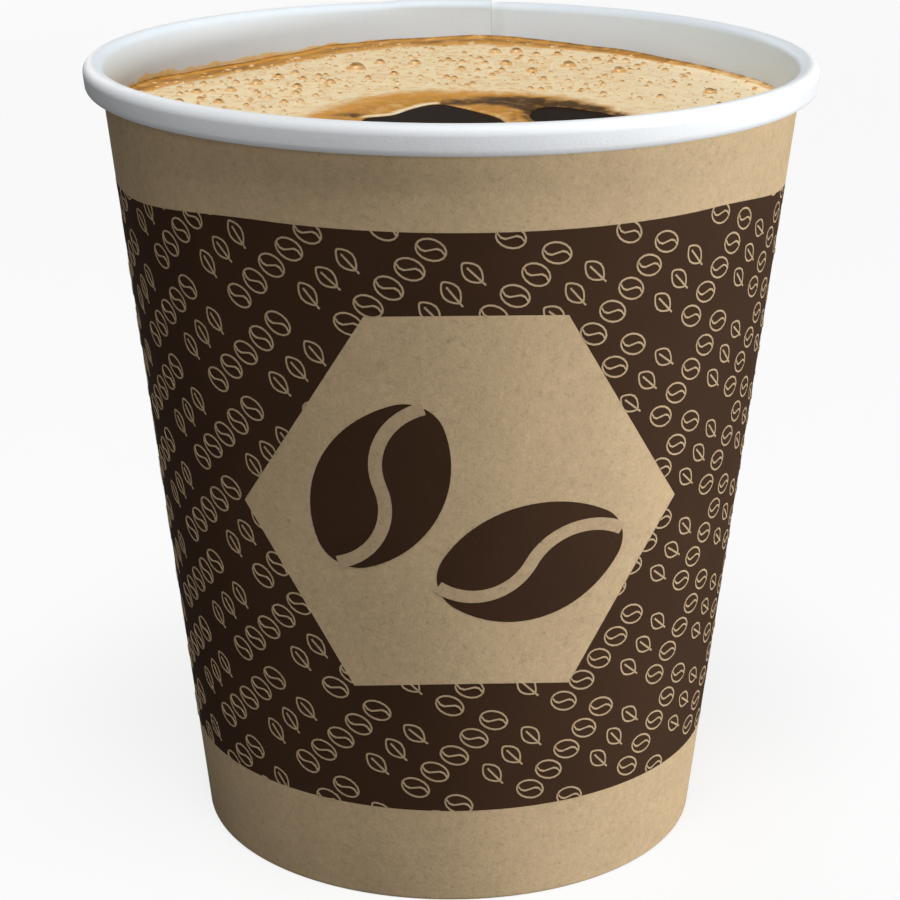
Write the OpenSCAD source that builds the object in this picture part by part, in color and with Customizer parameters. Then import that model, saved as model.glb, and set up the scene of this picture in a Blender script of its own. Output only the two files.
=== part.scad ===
/* [Cup] */
// Outside diameter of the rolled rim
rim_d = 80; // [70:0.5:92]
// Height from the table to the top of the rim
cup_h = 88.3; // [70:0.5:120]
// Outside diameter where the side wall meets the table
base_d = 57; // [50:0.5:62]

/* [Paper board] */
// Thickness of the side wall sheet
board = 0.35; // [0.25:0.01:0.45]
// Depth of the brown kraft face of that sheet
kraft = 0.12; // [0.08:0.01:0.2]
// Thickness of the disc that makes the floor
disc_board = 0.3; // [0.2:0.01:0.4]
// Glue line between the floor's skirt and the side wall
glue = 0.03; // [0.02:0.01:0.06]

/* [Rolled rim] */
// Height of the roll
curl_h = 3.2; // [2.8:0.1:4]
// Width of the roll, the side wall included
curl_w = 2.15; // [2:0.05:2.8]
// Clear space between one turn of the roll and the next
curl_gap = 0.06; // [0.04:0.01:0.12]
// How far the tucked end of the sheet turns inside the roll
tuck_turn = 120; // [60:5:140]

/* [Base] */
// Height of the floor inside the cup
floor_z = 8.5; // [7:0.1:12]
// Height of the sheet folded up inside the base
hem_h = 6.6; // [3:0.1:6.8]
// Inside radius at the edge of the floor
floor_corner = 0.8; // [0.4:0.1:1.4]
// How much the folded edge is flattened where it stands
foot_press = 0.08; // [0.04:0.01:0.12]

/* [Side seam] */
// Width over which the ends of the sheet overlap
lap_w = 10; // [6:0.5:14]
// How far the overlapping ends are pressed into each other
lap_press = 0.07; // [0.04:0.01:0.12]

/* [Print] */
// Height of the lower edge of the dark band
band_bottom = 11.5; // [10:0.5:20]
// Bare strip between the top of the cup and the upper edge of the dark band
band_drop = 11.1; // [8:0.1:25]
// Turn of the printed panel away from the middle of the front
print_turn = 2.6; // [-20:0.1:20]
// Height of the panel's widest line
panel_z = 45.7; // [40:0.1:50]
// Width of the panel between its side corners
panel_w = 45.4; // [30:0.1:50]
// Width of the panel's upper edge
panel_top_w = 20.4; // [12:0.1:30]
// Width of the panel's lower edge
panel_bottom_w = 22.8; // [12:0.1:30]
// Height of the panel above its widest line
panel_up = 22.5; // [12:0.1:28]
// Height of the panel below its widest line
panel_down = 19.5; // [12:0.1:28]
// Length of a printed coffee bean
bean_l = 20; // [10:0.5:22]
// Width of a printed coffee bean
bean_w = 13.2; // [8:0.1:15]
// Width of the crease along a bean
crease_w = 1.4; // [0.8:0.1:2]
// How proud the dark ink stands
ink = 0.05; // [0.03:0.01:0.08]

/* [Drink] */
// Depth of the foam's surface below the top of the cup
foam_drop = 4.6; // [4.3:0.1:18]
// Thickness of the foam
foam_t = 3; // [1.5:0.1:6]
// How far the open pool lies below the foam
pool_drop = 0.5; // [0.2:0.1:1.2]
// Clear space round the drink
fit = 0.08; // [0.05:0.01:0.15]
// Middle of the pool's left lobe, from the cup's axis
pool_left = [-1.6, -10.4]; // [-14:0.1:14]
// Radius of the left lobe
pool_left_r = 7.1; // [4:0.1:9]
// Middle of the pool's right lobe, from the cup's axis
pool_right = [10.4, -11.6]; // [-14:0.1:14]
// Radius of the right lobe
pool_right_r = 7.5; // [4:0.1:9]
// Width of the tongue of foam that curves between the lobes
tongue_w = 3.1; // [1:0.1:5]
// Number of large bubbles behind the pool
bubble_n = 34; // [10:1:60]
// Radius of the largest bubble
bubble_r = 0.95; // [0.5:0.05:1.2]

/* [Hidden] */
$fn = 128;

KRAFT = [0.74, 0.65, 0.49];
WHITE = [0.93, 0.93, 0.92];
INK = [0.21, 0.14, 0.11];
COFFEE = [0.11, 0.06, 0.04];
CREMA = [0.86, 0.72, 0.53];

rim_r = rim_d / 2;
base_r = base_d / 2;
band_top = cup_h - band_drop;
foam_z = cup_h - foam_drop;
far = rim_d;

// The section is drawn along the side wall: x across it, outwards, from its outer face,
// and y up it. These place that frame: the lean of the wall and the roll's upper centre.
roll_r = curl_w / 2;
roll_x = roll_r - board;
roll_across = rim_r - roll_r - base_r;
roll_up = cup_h - roll_r;
roll_y = sqrt(pow(roll_across, 2) + pow(roll_up, 2) - pow(roll_x, 2));
lean = atan2(roll_across, roll_up) - atan2(roll_x, roll_y);

// Rolled rim: the outer leg, the return under it and the tucked end
leg_x = curl_w - board;
return_r = (leg_x - curl_gap) / 2;
return_x = leg_x - return_r;
return_y = roll_y - (curl_h - roll_r - return_r);
tuck_r = (leg_x - board - 2 * curl_gap) / 2;
tuck_x = curl_gap + tuck_r;

// Folded base: the fold clasps the skirt of the floor
skirt_gap = disc_board + 2 * glue;
fold_r = board + skirt_gap / 2;
fold_x = -fold_r;
fold_y = (fold_r - foot_press + fold_x * sin(lean)) / cos(lean);
hem_x = -2 * fold_r;

// Floor disc: centre of its rounded edge, in radius and height
edge_r = floor_corner + disc_board;
edge_z = floor_z - edge_r;
edge_x = wall_r(edge_z, -board - glue) - edge_r / cos(lean);

// Middle of each printed bean, measured from the panel's widest line, and its turn
bean_spots = [[-8.6, 4, 64], [7, -4.6, 14]];
// Radius of a bean's tips and rise of its crease, as shares of half its width
bean_tip = 0.62;
bean_bend = 0.34;

// Side seam
lap_x = board - lap_press;
lap_lift = 0.75 * lap_x;
lap_from = 36;
lap_to = 160;

// Bubbles lie between these radii, within this angle of the back, and are caps of spheres
golden = 137.508;
bubble_in = 2 * pool_left_r;
bubble_out = wall_r(foam_z, -board) - 2 * bubble_r;
bubble_spread = 80;
bubble_least = 0.55;
bubble_rise = 0.45;

// Radius at height z of a line that runs along the wall at x across it
function wall_r(z, x) = base_r + x / cos(lean) + z * tan(lean);

// Distance up the wall of the point at height z on its outer face
function up_wall(z) = z / cos(lean);

// Part of a ring, from angle a0 to a1
module arc_band(x, y, r_out, r_in, a0, a1) {
    reach = 3 * r_out;
    step = (a1 - a0) / 4;
    translate([x, y])
        intersection() {
            difference() {
                circle(r_out);
                circle(r_in);
            }
            polygon(concat([[0, 0]], [for (i = [0:4]) reach * [cos(a0 + i * step), sin(a0 + i * step)]]));
        }
}

module strip(x0, x1, y0, y1) {
    translate([x0, y0]) square([x1 - x0, y1 - y0]);
}

// The layer of the sheet between depths d0 and d1 below its outer, printed face,
// followed from the hem round the base, up the wall and through the roll
module sheet_layer(d0, d1) {
    strip(hem_x + d0, hem_x + d1, fold_y, fold_y + hem_h);
    arc_band(fold_x, fold_y, fold_r - d0, fold_r - d1, 180, 360);
    strip(-d1, -d0, fold_y, roll_y);
    arc_band(roll_x, roll_y, roll_r - board + d1, roll_r - board + d0, 0, 180);
    strip(leg_x - board + d0, leg_x - board + d1, return_y, roll_y);
    arc_band(return_x, return_y, return_r - board + d1, return_r - board + d0, 180, 360);
    strip(curl_gap + board - d1, curl_gap + board - d0, return_y, roll_y);
    arc_band(tuck_x, roll_y, tuck_r - board + d1, tuck_r - board + d0, 180 - tuck_turn, 180);
}

// Turns a section drawn along the wall into a round body that stands on the table
module roll_up_wall() {
    intersection() {
        rotate_extrude()
            translate([base_r, 0])
                rotate(-lean)
                    children();
        cylinder(h = 2 * cup_h, r = far);
    }
}

// The outer end of the sheet, which lies over the inner end along the back
module lap_section() {
    strip(-lap_press, lap_x, fold_y, return_y);
    arc_band(fold_x, fold_y, fold_r + lap_x, fold_r - lap_press, 180, 360);
    strip(hem_x - lap_x, hem_x + lap_press, fold_y, fold_y + hem_h);
}

module lap_roll_section() {
    arc_band(roll_x, roll_y, roll_r + lap_lift, roll_r - lap_press, lap_from, lap_to);
}

// Keeps what lies in the overlap at the back
module at_seam() {
    intersection() {
        children();
        translate([-lap_w / 2, 0, -1]) cube([lap_w, far, 2 * cup_h]);
    }
}

// Faces the printed panel: its flat drawing becomes a block that reaches through the front
module on_front() {
    rotate(print_turn)
        translate([0, 0, panel_z])
            rotate([90, 0, 0])
                linear_extrude(far)
                    children();
}

module panel() {
    polygon([
        [-panel_w / 2, 0],
        [-panel_top_w / 2, panel_up],
        [panel_top_w / 2, panel_up],
        [panel_w / 2, 0],
        [panel_bottom_w / 2, -panel_down],
        [-panel_bottom_w / 2, -panel_down]
    ]);
}

// Oval of four arcs, twice a long and twice b wide
module oval(a, b) {
    tip_r = bean_tip * b;
    tip_x = a - tip_r;
    side_r = (tip_x * tip_x + b * b - tip_r * tip_r) / (2 * (b - tip_r));
    meet_x = tip_x * side_r / (side_r - tip_r);
    intersection() {
        translate([0, b - side_r]) circle(side_r);
        translate([0, side_r - b]) circle(side_r);
        square([2 * meet_x, 4 * b], center = true);
    }
    for (side = [-1, 1])
        translate([side * tip_x, 0]) circle(tip_r);
}

// Coffee bean, with a crease of two arcs that run into each other at its middle
module bean(a, b) {
    rise = bean_bend * b;
    bend_r = (a * a / 4 + rise * rise) / (2 * rise);
    difference() {
        oval(a, b);
        for (turn = [0, 180])
            rotate(turn)
                intersection() {
                    translate([a / 2, rise - bend_r])
                        difference() {
                            circle(bend_r + crease_w / 2);
                            circle(bend_r - crease_w / 2);
                        }
                    translate([0, -crease_w]) square([2 * a, 2 * b]);
                }
    }
}

// Two beans, one upright and one lying beside it
module emblem() {
    for (spot = bean_spots)
        translate([spot[0], spot[1]])
            rotate(spot[2])
                bean(bean_l / 2, bean_w / 2);
}

module ink_section(face) {
    strip(face - ink, face + ink, up_wall(band_bottom), up_wall(band_top));
}

module printed_band() {
    difference() {
        union() {
            roll_up_wall() ink_section(0);
            at_seam() roll_up_wall() ink_section(lap_x);
        }
        on_front() panel();
    }
    intersection() {
        roll_up_wall() ink_section(0);
        on_front() emblem();
    }
}

// One sheet: rolled rim, wall, lapped side seam and the hem folded up inside the base.
// The white board reaches halfway into its kraft face, so that the two are one body.
module sidewall() {
    color(WHITE) roll_up_wall() sheet_layer(kraft / 2, board);
    color(KRAFT) roll_up_wall() sheet_layer(0, kraft);
    color(KRAFT) at_seam() roll_up_wall() lap_section();
    color(WHITE) at_seam() roll_up_wall() lap_roll_section();
    color(INK) printed_band();
}

// Pressed disc with its edge turned down as a skirt, which the hem clasps
module bottom_disc() {
    color(WHITE)
        rotate_extrude() {
            strip(0, edge_x, floor_z - disc_board, floor_z);
            arc_band(edge_x, edge_z, edge_r, edge_r - disc_board, -lean, 90);
            intersection() {
                translate([base_r, 0])
                    rotate(-lean)
                        strip(-board - glue - disc_board, -board - glue, fold_y, up_wall(floor_z));
                translate([edge_x, edge_z])
                    rotate(-lean)
                        strip(0, far, -far, 0);
            }
        }
}

// Cone of liquid or foam between two heights, a clearance away from the wall
module fill(z0, z1) {
    rotate_extrude()
        polygon([[0, z0], [wall_r(z0, -board - fit), z0], [wall_r(z1, -board - fit), z1], [0, z1]]);
}

// Outline of the open pool, grown by g
module pool(g) {
    translate(pool_left) circle(pool_left_r + g);
    difference() {
        translate(pool_right) circle(pool_right_r + g);
        translate(pool_left) circle(pool_left_r + tongue_w - g);
    }
}

// The liquid fills the cup below the foam and rises through it in the pool
module coffee() {
    color(COFFEE) {
        fill(floor_z + fit, foam_z - foam_t - fit);
        translate([0, 0, foam_z - 2 * foam_t])
            linear_extrude(2 * foam_t - pool_drop)
                pool(0);
    }
}

// Large bubbles, spread evenly over the back of the foam by the golden angle
module bubbles() {
    for (i = [0:bubble_n - 1]) {
        share = (i + 0.5) / bubble_n;
        out = sqrt(pow(bubble_in, 2) + share * (pow(bubble_out, 2) - pow(bubble_in, 2)));
        turn = 90 + bubble_spread * sin(i * golden);
        size = bubble_r * (bubble_least + (1 - bubble_least) * abs(cos(i * golden)));
        translate([out * cos(turn), out * sin(turn), foam_z + bubble_rise * size])
            sphere(size, $fn = 24);
    }
}

module crema() {
    color(CREMA)
        difference() {
            fill(foam_z - foam_t, foam_z);
            translate([0, 0, foam_z - 2 * foam_t]) linear_extrude(3 * foam_t) pool(fit);
            bubbles();
        }
}

sidewall();
bottom_disc();
coffee();
crema();
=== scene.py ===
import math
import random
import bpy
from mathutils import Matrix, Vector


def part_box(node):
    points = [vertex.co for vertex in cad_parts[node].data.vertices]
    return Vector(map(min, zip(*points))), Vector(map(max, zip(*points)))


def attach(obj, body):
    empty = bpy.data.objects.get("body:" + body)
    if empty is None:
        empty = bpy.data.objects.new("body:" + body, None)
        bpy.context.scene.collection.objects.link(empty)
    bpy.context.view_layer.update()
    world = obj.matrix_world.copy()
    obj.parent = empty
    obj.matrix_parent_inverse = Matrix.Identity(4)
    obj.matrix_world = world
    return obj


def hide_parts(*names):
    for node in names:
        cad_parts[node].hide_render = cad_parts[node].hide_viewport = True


bl_info = {
    "name": "Paper Coffee Cup",
    "version": (1, 0, 0),
    "blender": (4, 5, 0),
    "location": "3D View > Sidebar > Coffee Cup",
    "description": "Kraft paper cup with a rolled rim, a printed band and a foamy coffee",
    "category": "Add Mesh",
}

from types import SimpleNamespace

import bmesh
import bpy
import numpy as np
from mathutils import Matrix, Vector, noise

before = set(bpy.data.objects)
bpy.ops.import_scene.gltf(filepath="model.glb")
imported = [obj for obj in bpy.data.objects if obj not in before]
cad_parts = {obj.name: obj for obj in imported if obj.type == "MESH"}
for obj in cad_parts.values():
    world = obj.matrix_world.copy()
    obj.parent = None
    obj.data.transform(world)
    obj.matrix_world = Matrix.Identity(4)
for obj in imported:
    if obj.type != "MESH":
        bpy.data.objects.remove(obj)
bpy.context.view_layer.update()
WALL_LOW, WALL_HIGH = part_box("sidewall")

MM = 0.001
BODY = "root"
# Distances within which a printed motif may cross an edge of the band, or the seam
NEAR_EDGE = 8 * MM
NEAR_SEAM = 12 * MM
# Turns inside the rolled rim are drawn in the XZ plane, seen from the front
AXIS = Vector((0, -1, 0))


def levels(red, green, blue):
    """Linear colour of three display levels from 0 to 255."""
    return tuple(((v / 255 + 0.055) / 1.055) ** 2.4 for v in (red, green, blue))


def length(label, about, millimetres):
    return bpy.props.FloatProperty(
        name=label, description=about, default=millimetres * MM, unit="LENGTH", precision=5
    )


def turn(label, about, degrees):
    return bpy.props.FloatProperty(
        name=label, description=about, default=math.radians(degrees), subtype="ANGLE"
    )


def share(label, about, value):
    return bpy.props.FloatProperty(
        name=label, description=about, default=value, soft_min=0, soft_max=1, subtype="FACTOR"
    )


def tint(label, about, *shade):
    return bpy.props.FloatVectorProperty(
        name=label, description=about, default=levels(*shade), size=3, min=0, max=1, subtype="COLOR"
    )


class CupPaper(bpy.types.PropertyGroup):
    """Sizes and colours of the board that the cup is made of."""

    rim_radius: length("Rim radius", "Outside radius of the rolled rim", 40)
    height: length("Height", "From the table to the top of the rim", 88.3)
    base_radius: length("Base radius", "Outside radius of the wall at the table", 28.5)
    board: length("Board", "Thickness of the side wall sheet", 0.35)
    curl_height: length("Roll height", "Height of the rolled rim", 3.2)
    curl_width: length("Roll width", "Width of the rolled rim, the wall included", 2.15)
    curl_gap: length("Roll gap", "Clear space between the turns of the roll", 0.06)
    tuck_turn: turn("Tuck", "How far the tucked end turns inside the roll", 120)
    hem_height: length("Hem", "Height of the sheet folded up inside the base", 6.6)
    foot_press: length("Foot press", "How much the folded edge is flattened", 0.08)
    lap: length("Lap", "Width over which the sheet's ends overlap", 10)
    lap_gap: length("Lap gap", "Clear space between the overlapping ends", 0.01)
    lap_lift: length("Lap lift", "How far the roll rises over the overlap", 0.21)
    floor_height: length("Floor height", "Height of the floor inside the cup", 8.5)
    floor_corner: length("Floor corner", "Inside radius at the edge of the floor", 0.8)
    disc_board: length("Disc board", "Thickness of the floor disc", 0.3)
    glue: length("Glue", "Glue line between the floor's skirt and the wall", 0.03)
    kraft: tint("Kraft", "Brown outer face of the board", 197, 172, 136)
    lining: tint("Lining", "White inner face of the board", 242, 245, 248)
    inside: tint("Inside", "Inner face of the board below the rim", 226, 238, 248)
    # Painted shade: the inner face below the rim is painted a darker, cooler white than the rim of the
    # same board, for shade and against the foam's warm bounce light
    cut: tint("Cut edge", "Raw edge of the board", 222, 214, 200)


class CupPrint(bpy.types.PropertyGroup):
    """Sizes and colours of the print round the cup."""

    band_bottom: length("Band bottom", "Height of the lower edge of the dark band", 11.5)
    band_top: length("Band top", "Height of the upper edge of the dark band", 77.2)
    band_sag: length("Band sag", "How far the band's upper edge falls towards the sides", 1.6)
    turned: turn("Turn", "Turn of the panel away from the middle of the front", 2.6)
    panel_height: length("Panel height", "Height of the panel's widest line", 45.7)
    panel_width: length("Panel width", "Width between the side corners", 45.4)
    panel_top: length("Panel top", "Width of the panel's upper edge", 20.4)
    panel_bottom: length("Panel bottom", "Width of the panel's lower edge", 22.8)
    panel_up: length("Panel up", "Height above the widest line", 22.5)
    panel_down: length("Panel down", "Height below the widest line", 19.5)
    bean_length: length("Bean length", "Length of a bean on the panel", 20)
    bean_width: length("Bean width", "Width of a bean on the panel", 13.2)
    crease: length("Crease", "Width of the crease along a bean", 1.4)
    motif: length("Motif", "Height of a small motif on the band", 3.3)
    pitch: length("Motif pitch", "From one small motif to the next", 2.95)
    rows: length("Row pitch", "From one row of motifs to the next", 4.7)
    slant: turn("Slant", "Angle at which the rows climb", 45)
    stroke: length("Stroke", "Width of the thin lines", 0.2)
    proud: length("Proud", "How far the print stands out of the wall", 0.03)
    ink: tint("Ink", "Dark brown ink", 63, 43, 29)
    line: tint("Line", "Bare lines in the dark band", 187, 162, 129)


class CupDrink(bpy.types.PropertyGroup):
    """Sizes and colours of the coffee and its foam."""

    level: length("Foam level", "Height of the top of the foam", 83.7)
    thickness: length("Foam thickness", "Thickness of the foam", 3)
    pool_drop: length("Pool drop", "How far the open pool lies below the foam", 0.25)
    clear: length("Clearance", "Clear space round the liquid", 0.08)
    froth: length("Froth", "Height of the fine texture of the foam", 0.05)
    bubble: length("Small bubble", "Radius of the largest of the scattered bubbles", 0.5)
    scattered: bpy.props.IntProperty(
        name="Scattered bubbles", description="Number of small bubbles", default=900, min=0
    )
    cream: tint("Cream", "Foam", 254, 223, 171)
    pale: tint("Pale foam", "Palest foam", 254, 238, 204)
    gold: tint("Gold", "Foam stained by the coffee", 214, 147, 42)
    film: tint("Film", "Thin film left on the paper", 238, 202, 118)
    brown: tint("Brown", "Thin foam over the coffee", 80, 54, 20)
    coffee: tint("Coffee", "Liquid", 38, 27, 21)


class CupStage(bpy.types.PropertyGroup):
    """Camera, lights and floor."""

    camera_back: length("Camera back", "Distance of the camera in front of the axis", 274.415)
    camera_up: length("Camera up", "Height of the camera", 134.731)
    camera_down: turn("Camera down", "How far the camera looks down", 18.558)
    camera_roll: turn("Camera roll", "Roll of the camera", 0.166)
    lens: bpy.props.FloatProperty(
        name="Lens", description="Focal length in millimetres", default=100.52
    )
    key: share("Key light", "Light from the right", 1.02)
    top: share("Top light", "Light from above, a little in front", 0.64)
    crown: share("Overhead light", "Light from straight above", 0.1)
    fill: share("Fill light", "Light from the front", 0.2)
    rear: share("Rear light", "Light from behind, on the left", 0.18)
    sky: share("Sky", "Light from all round", 0.06)
    backdrop: tint("Floor", "Colour of the floor", 255, 255, 255)


def section_of(paper):
    """The lean of the wall and the centres of the rolls, worked out from the cup's sizes."""
    s = SimpleNamespace(paper=paper)
    s.roll_r = paper.curl_width / 2
    s.roll_x = s.roll_r - paper.board
    across = paper.rim_radius - s.roll_r - paper.base_radius
    up = paper.height - s.roll_r
    s.roll_y = math.sqrt(across**2 + up**2 - s.roll_x**2)
    s.lean = math.atan2(across, up) - math.atan2(s.roll_x, s.roll_y)
    s.slope = math.tan(s.lean)
    s.leg_x = paper.curl_width - paper.board
    s.return_r = (s.leg_x - paper.curl_gap) / 2
    s.return_x = s.leg_x - s.return_r
    s.return_y = s.roll_y - (paper.curl_height - s.roll_r - s.return_r)
    s.tuck_x = paper.curl_gap + (s.leg_x - paper.board - 2 * paper.curl_gap) / 2
    s.fold_r = paper.board + (paper.disc_board + 2 * paper.glue) / 2
    s.fold_y = (s.fold_r - paper.foot_press - s.fold_r * math.sin(s.lean)) / math.cos(s.lean)
    s.step = paper.board + paper.lap_gap
    return s


def across_wall(s, x, y):
    """Point of the XZ plane at x out of the wall's outer face and y up it."""
    return Vector(
        (
            s.paper.base_radius + x * math.cos(s.lean) + y * math.sin(s.lean),
            0,
            y * math.cos(s.lean) - x * math.sin(s.lean),
        )
    )


def upright(x, z):
    """Point of the XZ plane."""
    return Vector((x, 0, z))


def wall_radius(s, z, x=0):
    """Radius at height z of a line that runs along the wall at x across it."""
    return s.paper.base_radius + x / math.cos(s.lean) + z * s.slope


def ease(value):
    """Smooth step from 0 to 1."""
    value = min(max(value, 0), 1)
    return value * value * (3 - 2 * value)


# Bearings from the front, in degrees, between which the band's upper edge falls
FALL_RIGHT = (46, 78)
FALL_LEFT = (30, 68)


def band_fall(prints, point):
    """How far the band's upper edge lies below its middle, at a point of the wall."""
    bearing = math.degrees(math.atan2(point.x, -point.y))
    start, end = FALL_RIGHT if bearing > 0 else FALL_LEFT
    return prints.band_sag * ease((abs(bearing) - start) / (end - start))


def slide(s, point, rise):
    """Moves a point of the wall up along it."""
    point.xy = point.xy * (1 + rise * s.slope / math.hypot(point.x, point.y))
    point.z += rise


def lap_angle(s, radius):
    """Angle on each side of the back over which the ends of the sheet overlap."""
    return math.asin(s.paper.lap / 2 / radius)


class Pen:
    """Draws a chain of edges in the XZ plane, one extruded vertex at a time."""

    def __init__(self, bm, place, x, y):
        self.bm, self.place = bm, place
        self.tip = bm.verts.new(place(x, y))
        self.at = (x, y)
        self.chain = [(self.tip, None, 0)]

    def add(self, part, done):
        self.tip = bmesh.ops.extrude_vert_indiv(self.bm, verts=[self.tip])["verts"][0]
        self.chain.append((self.tip, part, done))
        return [self.tip]

    def line(self, x, y, stops=(1,), part=None):
        """Straight to (x, y), with a vertex at each share of the way in stops."""
        start, end = self.place(*self.at), self.place(x, y)
        for done in stops:
            tip = self.add(part, done)
            bmesh.ops.translate(self.bm, verts=tip, vec=start.lerp(end, done) - tip[0].co)
        self.at = (x, y)

    def arc(self, x, y, angle, cuts, part=None):
        """Round the centre (x, y) by an angle, anticlockwise where it is positive."""
        centre = self.place(x, y)
        for i in range(cuts):
            tip = self.add(part, (i + 1) / cuts)
            spun = Matrix.Rotation(angle / cuts, 3, AXIS)
            bmesh.ops.rotate(self.bm, verts=tip, cent=centre, matrix=spun)
        c, n = math.cos(angle), math.sin(angle)
        dx, dy = self.at[0] - x, self.at[1] - y
        self.at = (x + dx * c - dy * n, y + dx * n + dy * c)


def even(count):
    return [(i + 1) / count for i in range(count)]


def new_object(name, mesh_source, materials):
    """Object at the origin with the bmesh's mesh and these materials."""
    mesh = bpy.data.meshes.new(name)
    mesh_source.to_mesh(mesh)
    mesh_source.free()
    for material in materials:
        mesh.materials.append(material)
    piece = bpy.data.objects.new(name, mesh)
    bpy.context.scene.collection.objects.link(piece)
    return piece


def add_drawn(bm, draw, place):
    """Draws a shape by itself, moves it to its place and adds it."""
    shape = bmesh.new()
    draw(shape)
    bmesh.ops.transform(shape, matrix=place, verts=shape.verts)
    mesh = bpy.data.meshes.new("shape")
    shape.to_mesh(mesh)
    shape.free()
    bm.from_mesh(mesh)
    bpy.data.meshes.remove(mesh)


def thicken(piece, thickness, back=0, rim=0):
    """Gives a sheet its thickness, behind its faces, and closes its edges."""
    wall = piece.modifiers.new("Board", "SOLIDIFY")
    wall.thickness = thickness
    wall.offset = -1
    wall.use_even_offset = True
    wall.material_offset = back
    wall.material_offset_rim = rim
    with bpy.context.temp_override(object=piece, active_object=piece):
        bpy.ops.object.modifier_apply(modifier=wall.name)


def smooth(piece, sharpest=math.radians(40)):
    """Smooth shading, broken at edges sharper than the angle."""
    piece.data.polygons.foreach_set("use_smooth", [True] * len(piece.data.polygons))
    piece.data.set_sharp_from_angle(angle=sharpest)


def face_out(bm):
    """Turns the faces of an open sheet outwards from the cup's axis."""
    bm.normal_update()
    facing = 0
    for face in bm.faces:
        away = face.calc_center_median()
        away.z = 0
        facing += face.normal.dot(away) * face.calc_area()
    if facing < 0:
        bmesh.ops.reverse_faces(bm, faces=bm.faces)


def fasten(piece, slot, *nodes):
    """Rides with the cup and stands for its CAD nodes, which it hides; its slot is not used."""
    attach(piece, BODY)
    if nodes:
        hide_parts(*nodes)


class Finish:
    """One material, its nodes added from the texture to the surface."""

    def __init__(self, name, roughness, specular=0.5):
        self.material = bpy.data.materials.new(name)
        self.material.use_nodes = True
        self.tree = self.material.node_tree
        self.surface = self.tree.nodes["Principled BSDF"]
        self.surface.inputs["Roughness"].default_value = roughness
        self.surface.inputs["Specular IOR Level"].default_value = specular
        self.place = self.add("ShaderNodeTexCoord").outputs["Object"]

    def add(self, kind, inputs=None, **settings):
        node = self.tree.nodes.new(kind)
        for name, value in settings.items():
            setattr(node, name, value)
        for name, value in (inputs or {}).items():
            self.feed(node.inputs[name], value)
        return node

    def feed(self, socket, value):
        if isinstance(value, bpy.types.NodeSocket):
            self.tree.links.new(value, socket)
        elif socket.type == "RGBA" and len(value) == 3:
            socket.default_value = (*value, 1)
        else:
            socket.default_value = value

    def grain(self, size, detail=3, roughness=0.55, place=None, distortion=0):
        """Noise with features of about this size in metres."""
        node = self.add(
            "ShaderNodeTexNoise",
            {
                "Vector": place or self.place,
                "Scale": 1 / size,
                "Detail": detail,
                "Roughness": roughness,
                "Distortion": distortion,
            },
        )
        return node.outputs["Fac"]

    def cells(self, size, feature="F1", randomness=1.0):
        node = self.add(
            "ShaderNodeTexVoronoi",
            {"Vector": self.place, "Scale": 1 / size, "Randomness": randomness},
            feature=feature,
        )
        return node.outputs["Distance"]

    def band(self, value, low, high, start=0.0, end=1.0):
        """Value from low to high, spread smoothly from start to end."""
        node = self.add(
            "ShaderNodeMapRange",
            {"Value": value, "From Min": low, "From Max": high, "To Min": start, "To Max": end},
            interpolation_type="SMOOTHSTEP",
        )
        return node.outputs[0]

    def sum(self, *values):
        total = values[0]
        for value in values[1:]:
            total = self.maths("ADD", total, value)
        return total

    def maths(self, operation, first, second, clamp=False):
        node = self.add("ShaderNodeMath", operation=operation, use_clamp=clamp)
        self.feed(node.inputs[0], first)
        self.feed(node.inputs[1], second)
        return node.outputs[0]

    def mix(self, amount, first, second, blend="MIX"):
        node = self.add("ShaderNodeMix", data_type="RGBA", blend_type=blend)
        self.feed(node.inputs[0], amount)
        self.feed(node.inputs[6], first)
        self.feed(node.inputs[7], second)
        return node.outputs[2]

    def attribute(self, name):
        return self.add("ShaderNodeAttribute", attribute_name=name)

    def bump(self, height, distance, strength=1.0, normal=None):
        inputs = {"Height": height, "Distance": distance, "Strength": strength}
        if normal is not None:
            inputs["Normal"] = normal
        return self.add("ShaderNodeBump", inputs).outputs[0]

    def paint(self, colour, normal=None, roughness=None):
        self.feed(self.surface.inputs["Base Color"], colour)
        if normal is not None:
            self.feed(self.surface.inputs["Normal"], normal)
        if roughness is not None:
            self.feed(self.surface.inputs["Roughness"], roughness)
        return self.material


def shade(colour, amount):
    """The colour made lighter or darker by a factor."""
    return tuple(min(v * amount, 1) for v in colour)


def speckle(finish):
    """Height field of the short fibres of kraft paper."""
    fine = finish.grain(0.00028, 3, 0.7)
    coarse = finish.grain(0.0008, 3, 0.6, distortion=0.6)
    return finish.maths("DIVIDE", finish.sum(fine, coarse), 2)


def kraft_finish(name, colour):
    """Brown kraft: cloudy, speckled with dark and pale fibres, matt."""
    f = Finish(name, 0.85, 0.2)
    cloud = f.band(f.grain(0.011, 4, 0.6), 0.3, 0.7)
    base = f.mix(cloud, shade(colour, 0.95), shade(colour, 1.05))
    strands = speckle(f)
    base = f.mix(f.band(strands, 0.5, 0.66, 0, 0.42), base, shade(colour, 1.3))
    base = f.mix(f.band(strands, 0.5, 0.34, 0, 0.5), base, shade(colour, 0.66))
    fleck = f.band(f.cells(0.0042), 0.07, 0.02, 0, 0.45)
    base = f.mix(fleck, base, shade(colour, 0.5))
    return f.paint(base, f.bump(strands, 0.00008, 0.6))


def ink_finish(name, colour, kraft):
    """Dark ink over kraft: slightly uneven, with the fibres just showing through."""
    f = Finish(name, 0.8, 0.08)
    cloud = f.band(f.grain(0.012, 4, 0.6), 0.3, 0.7)
    base = f.mix(cloud, shade(colour, 0.93), shade(colour, 1.08))
    strands = speckle(f)
    base = f.mix(f.band(strands, 0.6, 0.76, 0, 0.1), base, kraft)
    return f.paint(base, f.bump(strands, 0.00006, 0.5))


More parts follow.
